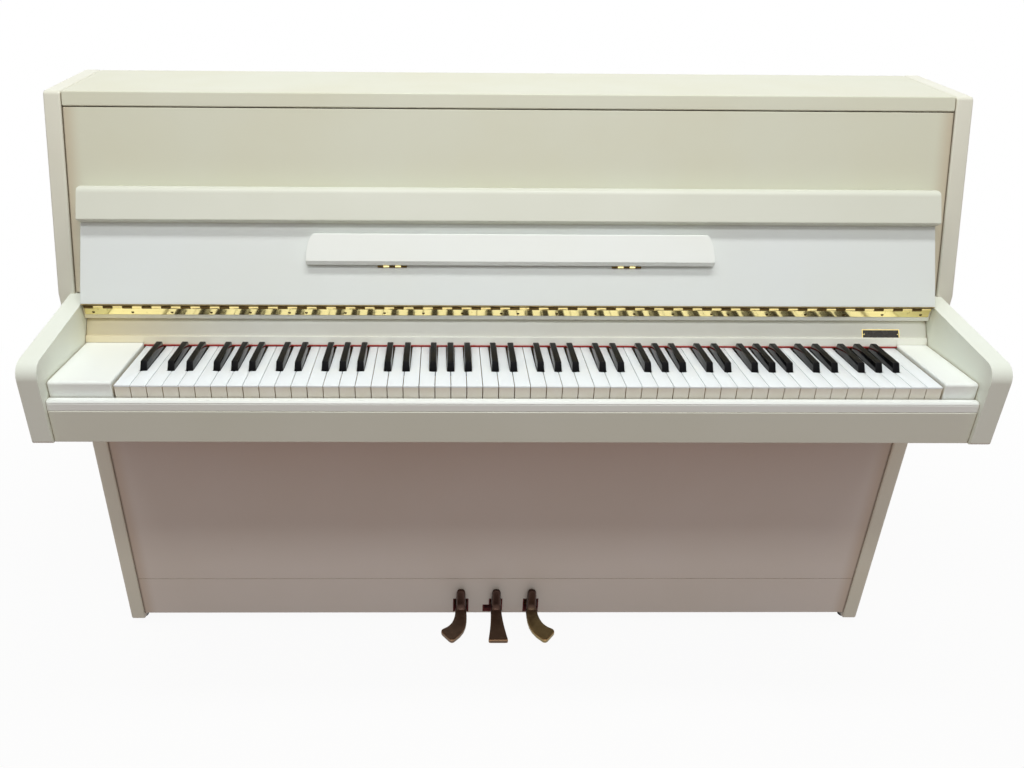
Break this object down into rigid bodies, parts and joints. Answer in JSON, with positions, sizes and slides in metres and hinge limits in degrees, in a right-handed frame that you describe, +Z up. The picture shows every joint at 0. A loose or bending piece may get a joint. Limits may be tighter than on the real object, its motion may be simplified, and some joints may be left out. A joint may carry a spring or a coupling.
{
  "type": "upright piano",
  "caption": "Low upright piano with leaning front, open folding fallboard on a continuous hinge, fold-down music desk, full keyboard and three cast pedals.",
  "frame": {"origin": "on the floor, midway between the two sides and midway between the front of the arms and the back", "axes": "+X to the player's right, +Y to the back, +Z up"},
  "size_m": [1.473, 0.51, 1.01],
  "materials": {
    "lacquer": "warm white satin polyester lacquer on panel",
    "timber": "plain planed hardwood",
    "spruce": "straight-grained spruce, thin varnish",
    "brass": "polished brass",
    "bronze": "cast bronze, darkened by age, edges rubbed bright",
    "white_key": "polished white acrylic",
    "black_key": "black moulded plastic, soft gloss",
    "red_felt": "red wool felt",
    "rubber": "black rubber",
    "plate_paint": "bronze paint on cast iron"
  },
  "bodies": {
    "case": {"side_left": "lacquer", "side_right": "lacquer", "arm_left": "lacquer", "arm_right": "lacquer", "foot_front_left": "rubber", "foot_back_left": "rubber", "foot_front_right": "rubber", "foot_back_right": "rubber", "key_bed": "timber", "front_rail": "lacquer", "key_slip": "lacquer", "key_block_left": "lacquer", "key_block_right": "lacquer", "name_rail": "lacquer", "name_felt": "red_felt", "fall_hinge_fixed": "brass", "lid_hinge_fixed": "brass", "upper_panel": "lacquer", "lower_panel": "lacquer", "bottom_rail": "lacquer", "bottom_board": "timber", "pedal_pivot_rail": "timber", "back_frame": "timber", "soundboard": "spruce", "iron_plate": "plate_paint", "pin_block": "timber", "action": "timber", "naturals": "white_key", "sharps": "black_key"},
    "fallboard_body": {"fallboard": "lacquer", "fall_hinge_moving": "brass", "desk_hinge_left_fixed": "brass", "desk_hinge_right_fixed": "brass"},
    "flap_body": {"fallboard_flap": "lacquer"},
    "desk_body": {"music_desk": "lacquer", "desk_hinge_left_moving": "brass", "desk_hinge_right_moving": "brass"},
    "lid_body": {"top_lid": "lacquer", "lid_hinge_moving": "brass"},
    "pedal_left_body": {"pedal_left": "bronze"},
    "trap_left_body": {"trap_lever_left": "timber"},
    "rod_left_body": {"trap_rod_left": "timber"},
    "pedal_middle_body": {"pedal_middle": "bronze"},
    "trap_middle_body": {"trap_lever_middle": "timber"},
    "rod_middle_body": {"trap_rod_middle": "timber"},
    "pedal_right_body": {"pedal_right": "bronze"},
    "trap_right_body": {"trap_lever_right": "timber"},
    "rod_right_body": {"trap_rod_right": "timber"},
    "key_c4_body": {"key_c4": "white_key"},
    "key_csharp4_body": {"key_csharp4": "black_key"},
    "key_d4_body": {"key_d4": "white_key"},
    "key_dsharp4_body": {"key_dsharp4": "black_key"},
    "key_e4_body": {"key_e4": "white_key"},
    "key_f4_body": {"key_f4": "white_key"},
    "key_fsharp4_body": {"key_fsharp4": "black_key"},
    "key_g4_body": {"key_g4": "white_key"},
    "key_gsharp4_body": {"key_gsharp4": "black_key"},
    "key_a4_body": {"key_a4": "white_key"},
    "key_asharp4_body": {"key_asharp4": "black_key"},
    "key_b4_body": {"key_b4": "white_key"}
  },
  "joints": [
    {"name": "fallboard_hinge", "type": "hinge", "parent": "case", "child": "fallboard_body", "pos_m": [0, -0.06753, 0.687], "axis": [1, 0, 0], "range_deg": [0, 125]},
    {"name": "flap_hinge", "type": "hinge", "parent": "fallboard_body", "child": "flap_body", "pos_m": [0, 0.00957, 0.84996], "axis": [1, 0, 0], "range_deg": [-90, 0]},
    {"name": "music_desk_hinge", "type": "hinge", "parent": "fallboard_body", "child": "desk_body", "pos_m": [0, -0.04727, 0.74905], "axis": [-1, 0, 0], "range_deg": [-90, 0]},
    {"name": "top_lid_hinge", "type": "hinge", "parent": "case", "child": "lid_body", "pos_m": [0, 0.2523, 0.98816], "axis": [-1, 0, 0], "range_deg": [0, 95]},
    {"name": "pedal_left_hinge", "type": "hinge", "parent": "case", "child": "pedal_left_body", "pos_m": [-0.0715, 0.064, 0.05], "axis": [1, 0, 0], "range_deg": [0, 6], "stiffness_Nm_per_rad": 60, "springref_deg": -8.59},
    {"name": "trap_lever_left_hinge", "type": "hinge", "parent": "case", "child": "trap_left_body", "pos_m": [-0.0215, 0.127, 0.0566], "axis": [0, 1, 0], "range_deg": [0, 9.91]},
    {"name": "trap_rod_left_slide", "type": "slide", "parent": "case", "child": "rod_left_body", "axis": [0, 0, 1], "range_m": [0, 0.02514]},
    {"name": "pedal_middle_hinge", "type": "hinge", "parent": "case", "child": "pedal_middle_body", "pos_m": [-0.0015, 0.064, 0.05], "axis": [1, 0, 0], "range_deg": [0, 6], "stiffness_Nm_per_rad": 60, "springref_deg": -8.59},
    {"name": "trap_lever_middle_hinge", "type": "hinge", "parent": "case", "child": "trap_middle_body", "pos_m": [0.0685, 0.15, 0.0566], "axis": [0, 1, 0], "range_deg": [0, 9.12]},
    {"name": "trap_rod_middle_slide", "type": "slide", "parent": "case", "child": "rod_middle_body", "axis": [0, 0, 1], "range_m": [0, 0.02305]},
    {"name": "pedal_right_hinge", "type": "hinge", "parent": "case", "child": "pedal_right_body", "pos_m": [0.069, 0.064, 0.05], "axis": [1, 0, 0], "range_deg": [0, 6], "stiffness_Nm_per_rad": 60, "springref_deg": -8.59},
    {"name": "trap_lever_right_hinge", "type": "hinge", "parent": "case", "child": "trap_right_body", "pos_m": [0.019, 0.127, 0.0566], "axis": [0, -1, 0], "range_deg": [0, 9.91]},
    {"name": "trap_rod_right_slide", "type": "slide", "parent": "case", "child": "rod_right_body", "axis": [0, 0, 1], "range_m": [0, 0.02514]},
    {"name": "key_c4_hinge", "type": "hinge", "parent": "case", "child": "key_c4_body", "pos_m": [0, -0.033, 0.604], "axis": [1, 0, 0], "range_deg": [0, 2.85], "stiffness_Nm_per_rad": 1, "springref_deg": -6.88},
    {"name": "key_csharp4_hinge", "type": "hinge", "parent": "case", "child": "key_csharp4_body", "pos_m": [0, -0.033, 0.604], "axis": [1, 0, 0], "range_deg": [0, 2.85], "stiffness_Nm_per_rad": 1, "springref_deg": -6.88},
    {"name": "key_d4_hinge", "type": "hinge", "parent": "case", "child": "key_d4_body", "pos_m": [0, -0.033, 0.604], "axis": [1, 0, 0], "range_deg": [0, 2.85], "stiffness_Nm_per_rad": 1, "springref_deg": -6.88},
    {"name": "key_dsharp4_hinge", "type": "hinge", "parent": "case", "child": "key_dsharp4_body", "pos_m": [0, -0.033, 0.604], "axis": [1, 0, 0], "range_deg": [0, 2.85], "stiffness_Nm_per_rad": 1, "springref_deg": -6.88},
    {"name": "key_e4_hinge", "type": "hinge", "parent": "case", "child": "key_e4_body", "pos_m": [0, -0.033, 0.604], "axis": [1, 0, 0], "range_deg": [0, 2.85], "stiffness_Nm_per_rad": 1, "springref_deg": -6.88},
    {"name": "key_f4_hinge", "type": "hinge", "parent": "case", "child": "key_f4_body", "pos_m": [0, -0.033, 0.604], "axis": [1, 0, 0], "range_deg": [0, 2.85], "stiffness_Nm_per_rad": 1, "springref_deg": -6.88},
    {"name": "key_fsharp4_hinge", "type": "hinge", "parent": "case", "child": "key_fsharp4_body", "pos_m": [0, -0.033, 0.604], "axis": [1, 0, 0], "range_deg": [0, 2.85], "stiffness_Nm_per_rad": 1, "springref_deg": -6.88},
    {"name": "key_g4_hinge", "type": "hinge", "parent": "case", "child": "key_g4_body", "pos_m": [0, -0.033, 0.604], "axis": [1, 0, 0], "range_deg": [0, 2.85], "stiffness_Nm_per_rad": 1, "springref_deg": -6.88},
    {"name": "key_gsharp4_hinge", "type": "hinge", "parent": "case", "child": "key_gsharp4_body", "pos_m": [0, -0.033, 0.604], "axis": [1, 0, 0], "range_deg": [0, 2.85], "stiffness_Nm_per_rad": 1, "springref_deg": -6.88},
    {"name": "key_a4_hinge", "type": "hinge", "parent": "case", "child": "key_a4_body", "pos_m": [0, -0.033, 0.604], "axis": [1, 0, 0], "range_deg": [0, 2.85], "stiffness_Nm_per_rad": 1, "springref_deg": -6.88},
    {"name": "key_asharp4_hinge", "type": "hinge", "parent": "case", "child": "key_asharp4_body", "pos_m": [0, -0.033, 0.604], "axis": [1, 0, 0], "range_deg": [0, 2.85], "stiffness_Nm_per_rad": 1, "springref_deg": -6.88},
    {"name": "key_b4_hinge", "type": "hinge", "parent": "case", "child": "key_b4_body", "pos_m": [0, -0.033, 0.604], "axis": [1, 0, 0], "range_deg": [0, 2.85], "stiffness_Nm_per_rad": 1, "springref_deg": -6.88}
  ],
  "couplings": [
    {"joint": "flap_hinge", "follows": "fallboard_hinge", "ratio": -0.72},
    {"joint": "trap_lever_left_hinge", "follows": "pedal_left_hinge", "ratio": 1.5682},
    {"joint": "trap_rod_left_slide", "follows": "pedal_left_hinge", "m_per_rad": 0.23052},
    {"joint": "trap_lever_middle_hinge", "follows": "pedal_middle_hinge", "ratio": 1.4375},
    {"joint": "trap_rod_middle_slide", "follows": "pedal_middle_hinge", "m_per_rad": 0.21058},
    {"joint": "trap_lever_right_hinge", "follows": "pedal_right_hinge", "ratio": 1.5682},
    {"joint": "trap_rod_right_slide", "follows": "pedal_right_hinge", "m_per_rad": 0.23052}
  ]
}
